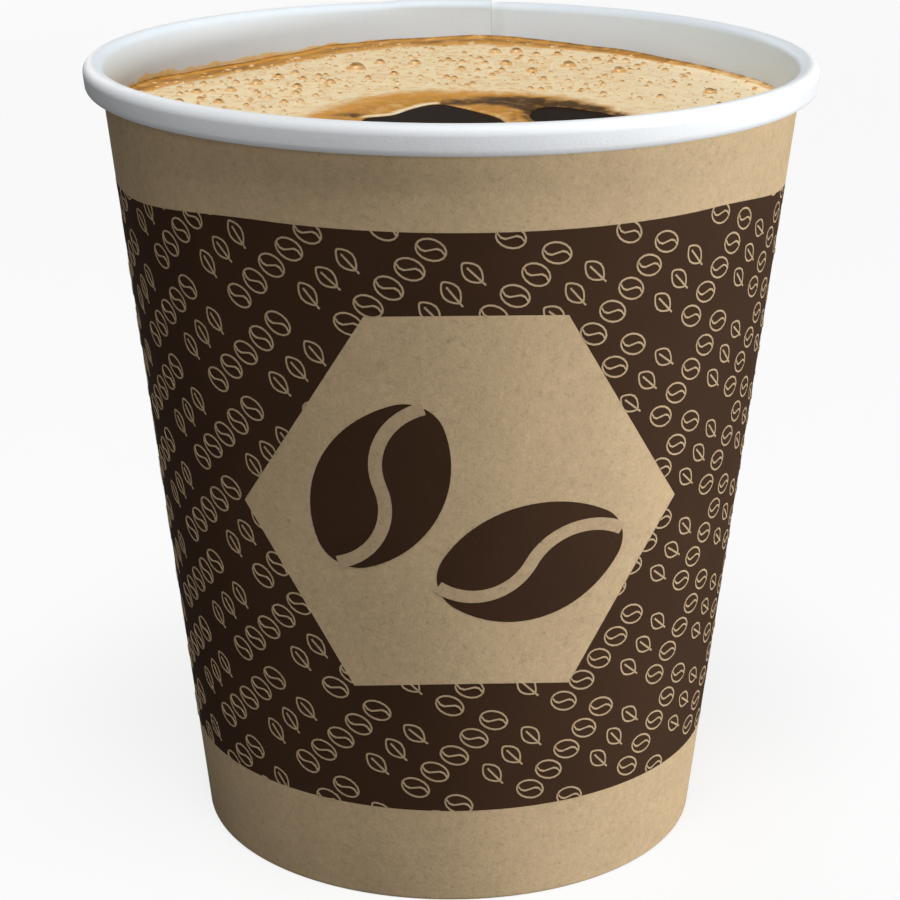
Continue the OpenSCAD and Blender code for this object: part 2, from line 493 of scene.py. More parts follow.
def lining_finish(name, paper, drink):
    """White coated board: satin, faintly wavy, with painted shade below the rim and the stain that the
    foam left on it.
    """
    f = Finish(name, 0.5, 0.4)
    colour = paper.lining
    mouth = wall_radius(section_of(paper), paper.height, -paper.board)
    cloud = f.band(f.grain(0.016, 4, 0.6), 0.3, 0.7)
    base = f.mix(cloud, shade(colour, 0.975), shade(colour, 1.0))
    speck = f.band(f.grain(0.0005, 3, 0.7), 0.62, 0.75, 0, 0.12)
    base = f.mix(speck, base, shade(colour, 0.85))
    flat = f.add("ShaderNodeVectorMath", {0: f.place, 1: (1, 1, 0)}, operation="MULTIPLY")
    radius = f.add("ShaderNodeVectorMath", {0: flat.outputs[0]}, operation="LENGTH").outputs["Value"]
    # Painted shade: below the mouth the inner face takes the darker, cooler inside tint
    base = f.mix(f.band(radius, mouth + 1 * MM, mouth), base, paper.inside)
    stain = f.attribute("stain").outputs["Fac"]
    ragged = f.maths("ADD", stain, f.band(f.grain(0.003, 3, 0.55), 0.25, 0.75, -0.28, 0.28))
    base = f.mix(f.band(ragged, 0.3, 0.6, 0, 0.85), base, drink.film)
    base = f.mix(f.band(ragged, 0.7, 1.1, 0, 0.8), base, drink.gold)
    height = f.sum(f.grain(0.0016, 3, 0.5), f.grain(0.0004, 2, 0.6))
    return f.paint(base, f.bump(height, 0.00004, 0.5))


def edge_finish(name, colour):
    """Raw cut edge of the board."""
    f = Finish(name, 0.9, 0.2)
    base = f.mix(f.grain(0.0004, 3, 0.7), shade(colour, 0.8), shade(colour, 1.05))
    return f.paint(base, f.bump(f.grain(0.0002, 2, 0.7), 0.00003))


def coffee_finish(name, colour):
    """Black coffee, with hardly any shine under the soft lamps."""
    f = Finish(name, 0.35, 0.03)
    base = f.mix(f.grain(0.006, 3), shade(colour, 0.85), shade(colour, 1.2))
    return f.paint(base)


def foam_finish(name, drink):
    """Foam: cream froth of pale and tan cells; its attribute stains it gold and brown and paints a pale
    highlight.
    """
    f = Finish(name, 0.65, 0.3)
    parts = f.add("ShaderNodeSeparateColor", {"Color": f.attribute("crema").outputs["Color"]})
    gold, brown, pale = parts.outputs
    plain = f.maths("SUBTRACT", 1.0, f.maths("MULTIPLY", pale, 0.6))
    cloud = f.band(f.grain(0.005, 4, 0.65), 0.3, 0.7)
    base = f.mix(cloud, shade(drink.cream, 0.9), shade(drink.cream, 1.03))
    tan = tuple(0.6 * a + 0.4 * b for a, b in zip(drink.cream, drink.gold))
    froth = f.cells(0.0017, "SMOOTH_F1")
    inner = f.maths("MULTIPLY", f.band(froth, 0.45, 0.1, 0, 0.85), plain)
    base = f.mix(inner, base, tan)
    rims = f.maths("MULTIPLY", f.band(f.cells(0.0017, "DISTANCE_TO_EDGE"), 0.16, 0.02, 0, 0.6), plain)
    base = f.mix(rims, base, drink.pale)
    pits = f.cells(0.00075)
    base = f.mix(f.band(pits, 0.26, 0.06, 0, 0.5), base, shade(tan, 0.8))
    # The attribute's pale share: the painted highlight along the left pool's lips, and paler foam towards
    # the right
    base = f.mix(f.maths("MULTIPLY", pale, 0.8), base, drink.pale)
    wisps = f.band(f.grain(0.003, 5, 0.65, distortion=1.4), 0.25, 0.75, -0.4, 0.4)
    warm = f.band(f.maths("ADD", gold, f.maths("MULTIPLY", wisps, gold)), 0.05, 0.95, 0, 0.95)
    base = f.mix(warm, base, drink.gold)
    dark = f.band(f.maths("ADD", brown, f.maths("MULTIPLY", wisps, brown)), 0.1, 0.9)
    base = f.mix(dark, base, drink.brown)
    f.surface.inputs["Subsurface Weight"].default_value = 0.1
    f.surface.inputs["Subsurface Radius"].default_value = (0.0012, 0.0008, 0.0005)
    f.surface.inputs["Subsurface Scale"].default_value = 1.0
    height = f.sum(f.band(froth, 0.0, 0.5), f.band(pits, 0.0, 0.3))
    return f.paint(base, f.bump(height, 0.00015, 0.7))


def bubble_finish(name, drink):
    """Bubble: a glossy film, brown at its crown, tan on its flank and pale at its foot."""
    f = Finish(name, 0.25, 0.5)
    tan = tuple(0.35 * a + 0.65 * b for a, b in zip(drink.cream, drink.gold))
    rise = f.attribute("rise").outputs["Fac"]
    base = f.mix(f.band(rise, 0.15, 0.42), drink.pale, tan)
    edge = tuple(0.35 * a + 0.65 * b for a, b in zip(drink.gold, drink.brown))
    base = f.mix(f.band(rise, 0.58, 0.9), base, edge)
    base = f.mix(f.band(f.grain(0.0007, 2), 0.4, 0.7, 0, 0.5), base, drink.cream)
    return f.paint(base)


class CUP_OT_side_wall(bpy.types.Operator):
    """Rolls the sheet into the wall, with its rim, its lapped seam and its folded base"""

    bl_idname = "cup.side_wall"
    bl_label = "Side Wall"

    # Degrees over which the outer end climbs onto the inner end, and the roll sinks again
    RAMP = 2.6
    SINK = 6.0

    def execute(self, context):
        paper, prints, drink = (context.scene.cup_paper, context.scene.cup_print, context.scene.cup_drink)
        s = section_of(paper)
        bm = bmesh.new()
        bm.verts.layers.int.new("path")
        bm.verts.layers.float.new("swept")
        chain = self.draw_profile(bm, s, prints, drink)
        spots = [vert.co.copy() for vert, part, done in chain]
        self.wind(bm, s, chain)
        self.shape(bm, s, chain, spots)
        self.lower_band(bm, s, prints, spots)
        self.clear_hidden(bm, chain)
        face_out(bm)
        self.print_band(bm, s, context)
        kraft = kraft_finish("kraft face", paper.kraft)
        ink = ink_finish("band ink", prints.ink, prints.line)
        lining = lining_finish("white lining", paper, drink)
        edge = edge_finish("cut edge", paper.cut)
        wall = new_object("cup_wall", bm, [kraft, ink, lining, lining, edge, edge])
        thicken(wall, paper.board, back=2, rim=4)
        stain_lining(wall, s, drink)
        smooth(wall)
        fasten(wall, "kraft_paper", "sidewall")
        return {"FINISHED"}

    def draw_profile(self, bm, s, prints, drink):
        """The line of the printed face, from the hem to the tucked end of the roll."""
        paper = s.paper
        board, hem_x = paper.board, -2 * s.fold_r
        half = math.pi
        pen = Pen(bm, lambda x, y: across_wall(s, x, y), hem_x, s.fold_y + paper.hem_height)
        pen.chain[0] = (pen.tip, "hem", 0)
        pen.line(hem_x, s.fold_y, even(3), "hem")
        pen.arc(-s.fold_r, s.fold_y, half, 14, "fold")
        run = s.roll_y - s.fold_y
        marks = [prints.band_bottom, prints.band_top]
        marks += [prints.band_bottom + (prints.band_top - prints.band_bottom) * i / 6 for i in range(1, 6)]
        marks += [drink.level + i * 0.35 * MM for i in range(-7, 7)]
        stops = sorted((z / math.cos(s.lean) - s.fold_y) / run for z in marks)
        pen.line(0, s.roll_y, [*stops, 1], "wall")
        pen.arc(s.roll_x, s.roll_y, -half, 26, "roll")
        leg = s.leg_x - board
        pen.line(leg, s.return_y, even(2), "leg")
        pen.arc(s.return_x, s.return_y, -half, 16, "return")
        pen.line(paper.curl_gap + board, s.roll_y, even(2), "back")
        pen.arc(s.tuck_x, s.roll_y, -paper.tuck_turn, 8, "tuck")
        return pen.chain

    def turns(self, s):
        """Angles from the inner end of the sheet, in degrees, closer together at the seam."""
        lap = self.lap_degrees(s)
        marks = [lap * i / 14 for i in range(1, 15)]
        marks += [lap + (352 - lap) * i / 304 for i in range(1, 305)]
        marks += [352 + 0.5 * i for i in range(1, 17)]
        marks += [360 + lap * i / 14 for i in range(1, 15)]
        return marks

    def lap_degrees(self, s):
        middle = (s.paper.rim_radius + s.paper.base_radius) / 2
        return 2 * math.degrees(lap_angle(s, middle))

    def wind(self, bm, s, chain):
        """Winds the profile once round the cup and on over its own beginning."""
        path = bm.verts.layers.int["path"]
        swept = bm.verts.layers.float["swept"]
        for index, (vert, part, done) in enumerate(chain):
            vert[path] = index
        ring, last = list(bm.edges), 0
        for now in self.turns(s):
            made = bmesh.ops.extrude_edge_only(bm, edges=ring)["geom"]
            fresh = {item for item in made if isinstance(item, bmesh.types.BMVert)}
            spun = Matrix.Rotation(math.radians(now - last), 3, "Z")
            bmesh.ops.rotate(bm, verts=list(fresh), cent=(0, 0, 0), matrix=spun)
            for vert in fresh:
                vert[swept] = now
            ring = [
                item
                for item in made
                if isinstance(item, bmesh.types.BMEdge) and fresh.issuperset(item.verts)
            ]
            last = now

    def shape(self, bm, s, chain, spots):
        """Moves each point of the wound sheet to where the overlap leaves it."""
        path = bm.verts.layers.int["path"]
        swept = bm.verts.layers.float["swept"]
        sides = []
        for i in range(len(spots)):
            before, after = spots[max(i - 1, 0)], spots[min(i + 1, len(spots) - 1)]
            along = (after - before).normalized()
            sides.append(Vector((along.z, 0, -along.x)))
        lap = self.lap_degrees(s)
        for vert in bm.verts:
            index, now = vert[path], vert[swept]
            part, done = chain[index][1:]
            away = self.lift(s, part, done, now, lap) * sides[index]
            spot = spots[index] + away
            radius, height = spot.x, max(spot.z, 0)
            bearing = self.bearing(s, radius, now, lap)
            vert.co = (radius * math.cos(bearing), radius * math.sin(bearing), height)

    def bearing(self, s, radius, now, lap):
        """Angle round the axis, so that the lap is as wide at the base as at the rim."""
        half = lap_angle(s, radius)
        back = math.pi / 2
        if now < lap:
            return back - half + now / lap * 2 * half
        if now < 360:
            return back + half + (now - lap) / (360 - lap) * 2 * (math.pi - half)
        return back + 2 * math.pi - half + (now - 360) / lap * 2 * half

    def lift(self, s, part, done, now, lap):
        """How far the sheet moves out of its printed face at the overlap."""
        over = ease((now - 360 + self.RAMP) / self.RAMP)
        under = 1 - ease((now - lap) / self.SINK)
        if part == "roll":
            bulge = ease(done / 0.25) * ease((1 - done) / 0.25)
            return over * s.step * (1 - ease(done / 0.9)) - under * s.paper.lap_lift * bulge
        if part in ("hem", "fold", "wall"):
            return over * s.step
        return 0

    def lower_band(self, bm, s, prints, spots):
        """Lets the line of the band's upper edge fall towards the sides."""
        path = bm.verts.layers.int["path"]
        gaps = [abs(spot.z - prints.band_top) if spot.x > 0.02 else 1 for spot in spots]
        edge = gaps.index(min(gaps))
        for vert in bm.verts:
            if vert[path] == edge:
                slide(s, vert.co, -band_fall(prints, vert.co))

    def clear_hidden(self, bm, chain):
        """Takes out the turns that have no room where two layers are rolled up together."""
        path = bm.verts.layers.int["path"]
        swept = bm.verts.layers.float["swept"]
        order = ["hem", "fold", "wall", "roll", "leg", "return", "back", "tuck"]
        gone = []
        for face in bm.faces:
            low = min(vert[swept] for vert in face.verts)
            high = max(vert[swept] for vert in face.verts)
            start = min((vert[path] for vert in face.verts))
            part, done = chain[start][1:]
            place = order.index(part) + done
            if low > 359.9 and place > order.index("roll") + 0.5:
                gone.append(face)
            elif high < 24 and place > order.index("return") + 0.68:
                gone.append(face)
        bmesh.ops.delete(bm, geom=gone, context="FACES")

    def print_band(self, bm, s, context):
        """Inks the band and leaves the panel bare."""
        prints = context.scene.cup_print
        planes = panel_planes(s, context)
        near = [
            face
            for face in bm.faces
            if face.calc_center_median().y < 0
            and prints.band_bottom < face.calc_center_median().z < prints.band_top
        ]
        cut_along(bm, near, planes)
        for face in bm.faces:
            middle = face.calc_center_median()
            top = prints.band_top - 0.5 * band_fall(prints, middle)
            if prints.band_bottom < middle.z < top:
                bare = middle.y < 0 and in_panel(middle, planes)
                face.material_index = 0 if bare else 1


def front_point(s, prints, x, z):
    """Point of the wall behind (x, z) of the front view, turned with the print."""
    y = -math.sqrt(wall_radius(s, z) ** 2 - x * x)
    return Matrix.Rotation(prints.turned, 3, "Z") @ Vector((x, y, z))


def panel_planes(s, context):
    """One plane for each edge of the panel: (point, normal), with the panel behind them.

    The planes meet at the camera, so the edges are straight where the cup is looked at."""
    prints, stage = context.scene.cup_print, context.scene.cup_stage
    eye = Vector((0, -stage.camera_back, stage.camera_up))
    middle = prints.panel_height
    top, low = middle + prints.panel_up, middle - prints.panel_down
    corners = [
        (-prints.panel_width / 2, middle),
        (-prints.panel_top / 2, top),
        (prints.panel_top / 2, top),
        (prints.panel_width / 2, middle),
        (prints.panel_bottom / 2, low),
        (-prints.panel_bottom / 2, low),
    ]
    points = [front_point(s, prints, x, z) for x, z in corners]
    heart = front_point(s, prints, 0, middle)
    planes = []
    for first, second in zip(points, points[1:] + points[:1]):
        normal = (first - eye).cross(second - eye).normalized()
        if normal.dot(heart - eye) > 0:
            normal.negate()
        planes.append((eye, normal))
    return planes


def in_panel(point, planes):
    return all((point - eye).dot(normal) < 0 for eye, normal in planes)


# Height of the foam's edge on the wall: angle from the right, in degrees, and millimetres
FOAM_EDGE = [
    (0, 83.1),
    (15, 83.1),
    (30, 82.95),
    (42, 83.05),
    (60, 83.5),
    (84, 84.15),
    (98, 83.75),
    (112, 83.4),
    (122, 82.7),
    (132, 82.35),
    (145, 82.35),
    (160, 82.8),
    (200, 83.2),
    (270, 83.4),
    (330, 83.2),
    (360, 83.1),
]
# How far the stain of the foam reaches above its edge, in the same way
STAIN_RISE = [
    (0, 0.15),
    (60, 0.2),
    (95, 0.25),
    (108, 0.5),
    (120, 0.95),
    (140, 1.15),
    (158, 1.5),
    (168, 0.7),
    (185, 0.4),
    (360, 0.15),
]


def round_cup(table, bearing):
    """Value of a table at an angle round the cup, in metres."""
    degrees = math.degrees(bearing) % 360
    for (a, low), (b, high) in zip(table, table[1:]):
        if degrees <= b:
            return (low + (high - low) * ease((degrees - a) / (b - a))) * MM
    return table[-1][1] * MM


def stain_lining(wall, s, drink):
    """Writes how far the foam has stained each point of the wall."""
    stain = wall.data.attributes.new("stain", "FLOAT", "POINT")
    values = []
    for vert in wall.data.vertices:
        x, y, z = vert.co
        value = 0.0
        if drink.level - 3 * MM < z < drink.level + 4 * MM:
            bearing = math.atan2(y, x)
            rise = round_cup(STAIN_RISE, bearing)
            above = z - round_cup(FOAM_EDGE, bearing)
            value = max(0.0, 1 - above / rise) if above > 0 else 1.0
        values.append(min(value, 1.0))
    stain.data.foreach_set("value", values)


class CUP_OT_band_print(bpy.types.Operator):
    """Prints rows of thin beans and leaves on the dark band"""

    bl_idname = "cup.band_print"
    bl_label = "Band Print"

    # A row repeats this many beans and then this many leaves, with a gap after each
    BEANS = 5
    LEAVES = 3
    GAP = 0.75

    def execute(self, context):
        paper, prints = context.scene.cup_paper, context.scene.cup_print
        s = section_of(paper)
        line = kraft_finish("print line", prints.line)
        planes = panel_planes(s, context)
        for name, draw, places in (
            ("band_beans", draw_small_bean, self.places(s, prints, True)),
            ("band_leaves", draw_small_leaf, self.places(s, prints, False)),
        ):
            motif = bmesh.new()
            draw(motif, prints)
            stamp = bpy.data.meshes.new(name + " stamp")
            motif.to_mesh(stamp)
            motif.free()
            whole = bmesh.new()
            for right in (False, True):
                half = bmesh.new()
                for place in places:
                    if (place[2] > 0) == right:
                        self.press(half, stamp, s, prints, place)
                self.trim(half, s, prints, planes, right)
                part = bpy.data.meshes.new(name)
                half.to_mesh(part)
                half.free()
                whole.from_mesh(part)
                bpy.data.meshes.remove(part)
            bpy.data.meshes.remove(stamp)
            face_out(whole)
            piece = new_object(name, whole, [line])
            thicken(piece, 2 * prints.proud)
            fasten(piece, "kraft_paper")
        return {"FINISHED"}

    def places(self, s, prints, beans):
        """Where each motif lies on the flat sheet: across, up, its bearing and its turn."""
        found = []
        step = prints.pitch
        group = self.BEANS + self.LEAVES + 2 * self.GAP
        reach = math.pi * s.paper.rim_radius + prints.rows
        count = int(reach * 1.5 / prints.rows)
        dice = random.Random(11)
        for row in range(-count, count + 1):
            start = -reach * 1.6 + (row * 3.35 % group) * step
            repeats = int(reach * 3.2 / (group * step))
            for repeat in range(repeats):
                for slot in range(self.BEANS + self.LEAVES):
                    is_bean = slot < self.BEANS
                    after = slot + (0 if is_bean else self.GAP)
                    along = start + (repeat * group + after) * step
                    lean = dice.uniform(-0.12, 0.12)
                    if is_bean != beans:
                        continue
                    rise = row * prints.rows
                    c, n = math.cos(prints.slant), math.sin(prints.slant)
                    a, b = along * c - rise * n, along * n + rise * c
                    bearing, z = from_flat(s, prints, a, b)
                    margin = prints.motif
                    if not prints.band_bottom - margin < z < prints.band_top + margin:
                        continue
                    if abs(bearing) < math.pi * 1.06:
                        found.append((a, b, bearing, prints.slant + lean + (0.35 if beans else 0)))
        return found

    def press(self, bm, stamp, s, prints, place):
        """Wraps one motif on to the wall."""
        a, b, bearing, angle = place
        start = len(bm.verts)
        bm.from_mesh(stamp)
        bm.verts.ensure_lookup_table()
        c, n = math.cos(angle), math.sin(angle)
        for vert in bm.verts[start:]:
            x, y, z = vert.co
            around, height = from_flat(s, prints, a + x * c - y * n, b + x * n + y * c)
            vert.co = wall_point(s, around, height, prints.proud)

    def trim(self, bm, s, prints, planes, right):
        """Cuts the lines off at the band's edges, at the panel and at the seam."""
        for vert in bm.verts:
            slide(s, vert.co, band_fall(prints, vert.co))
        top = Vector((0, 0, prints.band_top))
        cut_off(bm, top, Vector((0, 0, 1)), lambda p: p.z > prints.band_top - NEAR_EDGE)
        for vert in bm.verts:
            slide(s, vert.co, -band_fall(prints, vert.co))
        bottom = Vector((0, 0, prints.band_bottom))
        cut_off(bm, bottom, Vector((0, 0, -1)), lambda p: p.z < prints.band_bottom + NEAR_EDGE)
        seam = Vector((-s.paper.lap / 2, 0, 0))
        side = Vector((-1, 0, 0)) if right else Vector((1, 0, 0))
        cut_off(bm, seam, side, lambda p: p.y > 0 and abs(p.x - seam.x) < NEAR_SEAM)
        near = [f for f in bm.faces if f.calc_center_median().y < 0]
        cut_along(bm, near, planes)
        inside = [
            f
            for f in bm.faces
            if f.calc_center_median().y < 0 and in_panel(f.calc_center_median(), planes)
        ]
        bmesh.ops.delete(bm, geom=inside, context="FACES")


def cut_along(bm, faces, planes):
    """Cuts the faces along each plane in turn."""
    for spot, normal in planes:
        geometry = set(faces)
        for face in faces:
            geometry.update(face.verts, face.edges)
        cut = bmesh.ops.bisect_plane(
            bm, geom=list(geometry), dist=1e-8, plane_co=spot, plane_no=normal
        )
        faces = [item for item in cut["geom"] if isinstance(item, bmesh.types.BMFace)]


def cut_off(bm, spot, normal, near):
    """Cuts the faces that near picks along a plane, and deletes what is in front of it."""
    geometry = set()
    for face in bm.faces:
        if near(face.calc_center_median()):
            geometry.add(face)
            geometry.update(face.verts, face.edges)
    bmesh.ops.bisect_plane(
        bm, geom=list(geometry), dist=1e-8, plane_co=spot, plane_no=normal, clear_outer=True
    )


def from_flat(s, prints, across, up):
    """Bearing from the front and height of a point of the sheet while it lay flat."""
    middle = (prints.band_bottom + prints.band_top) / 2
    root = s.paper.base_radius / math.sin(s.lean)
    reach = root + middle / math.cos(s.lean) + up
    slant = math.hypot(across, reach)
    return math.atan2(across, reach) / math.sin(s.lean), (slant - root) * math.cos(s.lean)


def wall_point(s, bearing, z, proud):
    """Point at a bearing from the front, to the right, and a height on the outer face."""
    radius = wall_radius(s, z)
    edge = math.pi - lap_angle(s, radius)
    ramp = math.radians(CUP_OT_side_wall.RAMP)
    climb = (bearing - edge + ramp) / ramp
    crest = ease(climb / 0.5) * (1 - ease(climb - 1))
    away = proud * (1 + 2.5 * crest) + s.step * ease(climb)
    radius += away * math.cos(s.lean)
    angle = bearing - math.pi / 2
    return Vector(
        (radius * math.cos(angle), radius * math.sin(angle), z - away * math.sin(s.lean))
    )


def ribbon(bm, edges, inner):
    """Widens a closed outline into a thin line, by scaling a copy of it inwards."""
    made = bmesh.ops.extrude_edge_only(bm, edges=edges)["geom"]
    fresh = [item for item in made if isinstance(item, bmesh.types.BMVert)]
    bmesh.ops.scale(bm, verts=fresh, vec=inner)


def draw_small_bean(bm, prints):
    """Outline of a bean with its crease."""
    high, wide, stroke = prints.motif / 2, prints.motif * 0.36, prints.stroke
    made = bmesh.ops.create_circle(bm, segments=16, radius=1)
    bmesh.ops.scale(bm, verts=made["verts"], vec=(wide, high, 1))
    ribbon(bm, list(bm.edges), (1 - stroke / wide, 1 - stroke / high, 1))
    reach, bow, cuts = high - stroke, wide * 0.3, 6
    start = bm.verts.new((-stroke / 2, -reach, 0)), bm.verts.new((stroke / 2, -reach, 0))
    edge = bm.edges.new(start)
    for i in range(cuts):
        made = bmesh.ops.extrude_edge_only(bm, edges=[edge])["geom"]
        fresh = [item for item in made if isinstance(item, bmesh.types.BMVert)]
        before, after = (math.sin(2 * math.pi * k / cuts) * bow for k in (i, i + 1))
        bmesh.ops.translate(bm, verts=fresh, vec=(after - before, 2 * reach / cuts, 0))
        edge = next(e for e in bm.edges if set(e.verts) == set(fresh))
    bmesh.ops.recalc_face_normals(bm, faces=bm.faces)


def draw_small_leaf(bm, prints):
    """Pointed outline of a leaf with its rib and stalk."""
    high, wide, stroke = prints.motif / 2, prints.motif * 0.3, prints.stroke
    made = bmesh.ops.create_circle(bm, segments=16, radius=1)
    for vert in made["verts"]:
        vert.co.x *= wide * (1 - 0.45 * abs(vert.co.y) ** 2)
        vert.co.y *= high * 0.9
    bmesh.ops.translate(bm, verts=made["verts"], vec=(0, high * 0.1, 0))
    made = bmesh.ops.extrude_edge_only(bm, edges=list(bm.edges))["geom"]
    fresh = [item for item in made if isinstance(item, bmesh.types.BMVert)]
    shrink = Matrix.Translation((0, high * 0.1, 0)) @ Matrix.Diagonal(
        (1 - stroke / wide, 1 - 1.25 * stroke / high, 1, 1)
    )
    shrink = shrink @ Matrix.Translation((0, -high * 0.1, 0))
    bmesh.ops.transform(bm, matrix=shrink, verts=fresh)
    for low, top in ((-high * 0.8 + stroke, high * 0.55), (-high * 1.05, -high * 0.8)):
        stem = Matrix.Translation((0, (low + top) / 2, 0)) @ Matrix.Diagonal((stroke, top - low, 1, 1))
        bmesh.ops.create_grid(bm, x_segments=1, y_segments=3, size=0.5, matrix=stem)
    bmesh.ops.recalc_face_normals(bm, faces=bm.faces)


class CUP_OT_panel_print(bpy.types.Operator):
    """Prints two large beans on the panel"""

    bl_idname = "cup.panel_print"
    bl_label = "Panel Print"

    # Middle of each bean from the panel's widest line, in millimetres, and its turn
    SPOTS = ((-8.6, 4, 64), (7, -4.6, 14))
    TIP = 0.62
    BEND = 0.34

    def execute(self, context):
        paper, prints = context.scene.cup_paper, context.scene.cup_print
        s = section_of(paper)
        beans, creases = bmesh.new(), bmesh.new()
        for x, z, degrees in self.SPOTS:
            centre = Vector((x * MM, 0, z * MM + prints.panel_height))
            place = Matrix.Translation(centre) @ Matrix.Rotation(math.radians(degrees), 4, AXIS)
            add_drawn(beans, lambda bm: self.draw_bean(bm, prints), place)
            add_drawn(creases, lambda bm: self.draw_crease(bm, prints), place)
        ink = ink_finish("panel ink", prints.ink, prints.line)
        line = kraft_finish("bean crease", prints.line)
        for name, bm, material, proud in (
            ("panel_beans", beans, ink, prints.proud),
            ("bean_creases", creases, line, 2 * prints.proud),
        ):
            self.wrap(bm, s, prints, proud)
            face_out(bm)
            piece = new_object(name, bm, [material])
            thicken(piece, proud + prints.proud)
            fasten(piece, "kraft_paper")
        return {"FINISHED"}

    def draw_bean(self, bm, prints):
        """Oval of four arcs that run into each other."""
        a, b = prints.bean_length / 2, prints.bean_width / 2
        tip = self.TIP * b
        tip_x = a - tip
        side = (tip_x**2 + b * b - tip * tip) / (2 * (b - tip))
        meet = math.atan2(side - b, tip_x)
        quarter = math.pi / 2 - meet
        pen = Pen(bm, upright, 0, b)
        pen.arc(0, b - side, -quarter, 12)
        pen.arc(tip_x, 0, -2 * meet, 16)
        pen.arc(0, side - b, -2 * quarter, 24)
        pen.arc(-tip_x, 0, -2 * meet, 16)
        pen.arc(0, b - side, -quarter, 12)
        bmesh.ops.remove_doubles(bm, verts=bm.verts, dist=1e-6)
        bmesh.ops.contextual_create(bm, geom=list(bm.edges))

    def draw_crease(self, bm, prints):
        """Line of two arcs that run into each other in the middle of the bean."""
        a, rise = prints.bean_length / 2, self.BEND * prints.bean_width / 2
        bend = (a * a / 4 + rise * rise) / (2 * rise)
        centre = upright(a / 2, rise - bend)
        start = (upright(0, 0) - centre).normalized()
        sweep = 2 * math.asin(a / 2 / bend)
        ends = [bm.verts.new(centre + start * (bend + w * prints.crease / 2)) for w in (-1, 1)]
        edge = bm.edges.new(ends)
        bmesh.ops.spin(
            bm, geom=[*ends, edge], cent=centre, axis=AXIS, angle=-sweep, steps=18
        )
        copy = bmesh.ops.duplicate(bm, geom=[*bm.verts, *bm.edges, *bm.faces])["geom"]
        verts = [item for item in copy if isinstance(item, bmesh.types.BMVert)]
        bmesh.ops.rotate(bm, verts=verts, cent=(0, 0, 0), matrix=Matrix.Rotation(math.pi, 3, AXIS))
        bmesh.ops.remove_doubles(bm, verts=bm.verts, dist=1e-6)

    def wrap(self, bm, s, prints, proud):
        """Cuts flat shapes into narrow strips and lays them on the wall."""
        for i in range(-20, 21):
            self.slice(bm, Vector((i * MM, 0, 0)), Vector((1, 0, 0)))
            self.slice(bm, Vector((0, 0, prints.panel_height + i * MM)), Vector((0, 0, 1)))
        for vert in bm.verts:
            spot = front_point(s, prints, vert.co.x, vert.co.z)
            away = Vector((spot.x, spot.y, 0)).normalized() * math.cos(s.lean)
            away.z = -math.sin(s.lean)
            vert.co = spot + away * proud

    def slice(self, bm, spot, normal):
        geometry = list(bm.verts) + list(bm.edges) + list(bm.faces)
        bmesh.ops.bisect_plane(bm, geom=geometry, dist=1e-7, plane_co=spot, plane_no=normal)


class CUP_OT_floor_disc(bpy.types.Operator):
    """Presses the floor disc with its turned-down skirt"""

    bl_idname = "cup.floor_disc"
    bl_label = "Floor Disc"

    def execute(self, context):
        paper, drink = context.scene.cup_paper, context.scene.cup_drink
        s = section_of(paper)
        edge_r = paper.floor_corner + paper.disc_board
        edge_z = paper.floor_height - edge_r
        skirt = -paper.board - paper.glue
        edge_x = wall_radius(s, edge_z, skirt) - edge_r / math.cos(s.lean)
        bm = bmesh.new()
        pen = Pen(bm, upright, 0, paper.floor_height)
        pen.line(edge_x, paper.floor_height, even(8))
        pen.arc(edge_x, edge_z, -math.pi / 2 - s.lean, 10)
        foot = across_wall(s, skirt, s.fold_y)
        pen.line(foot.x, foot.z, even(3))
        geometry = list(bm.verts) + list(bm.edges)
        bmesh.ops.spin(
            bm, geom=geometry, cent=(0, 0, 0), axis=(0, 0, 1), angle=2 * math.pi, steps=160,
            use_merge=True,
        )
        bmesh.ops.remove_doubles(bm, verts=bm.verts, dist=1e-7)
        face_out(bm)
        paper_white = lining_finish("floor paper", paper, drink)
        disc = new_object("cup_floor", bm, [paper_white])
        thicken(disc, paper.disc_board)
        smooth(disc)
        fasten(disc, "white_paper", "bottom_disc")
        return {"FINISHED"}


# Outlines on the foam, in millimetres from the cup's axis: the pool's two open parts, the
# stained foam round them and the thin dark foam between them
LEFT_POOL = [
    (-8.8, -11.2), (-6.0, -9.4), (-4.1, -6.0), (-1.7, -3.4), (0.9, -5.3), (3.4, -8.4),
    (5.2, -11.4), (5.5, -14.6), (2.6, -17.2), (-1.8, -17.8), (-6.4, -16.6), (-9.0, -14.0),
]
RIGHT_POOL = [
    (8.4, -10.8), (9.0, -6.6), (10.6, -4.6), (12.6, -5.1), (14.6, -6.7), (16.7, -8.6),
    (18.0, -10.8), (17.2, -14.4), (13.6, -17.4), (9.8, -15.6),
]
HALO = [
    (-16.2, -9.5), (-14.2, -5.7), (-11.7, -1.9), (-9.2, 0.9), (-5.9, 3.0), (-2.3, 4.2),
    (1.3, 3.7), (5.0, 3.1), (8.6, 2.5), (12.1, 0.7), (15.6, -2.7), (18.4, -7.0),
    (20.2, -11.5), (18.0, -18.0), (9.0, -21.5), (-2.0, -22.0), (-11.5, -19.5), (-16.2, -14.5),
]
DARK = [
    (-0.5, -4.0), (-1.4, -2.9), (1.4, -1.9), (4.8, -1.3), (8.7, -1.5), (12.6, -3.2),
    (16.0, -6.6), (12.6, -5.4), (10.2, -4.6), (8.8, -7.6), (7.2, -6.9), (5.4, -5.2),
    (2.6, -4.4),
]
# Width of the stained band along the wall: angle from the right, and millimetres
WALL_BAND = [
    (0, 0.9), (30, 1.6), (55, 3.6), (78, 6.4), (105, 6.8), (120, 7.2), (137, 8.6),
    (150, 7.8), (161, 5.8), (172, 3.2), (184, 1.2), (200, 0.7), (360, 0.9),
]


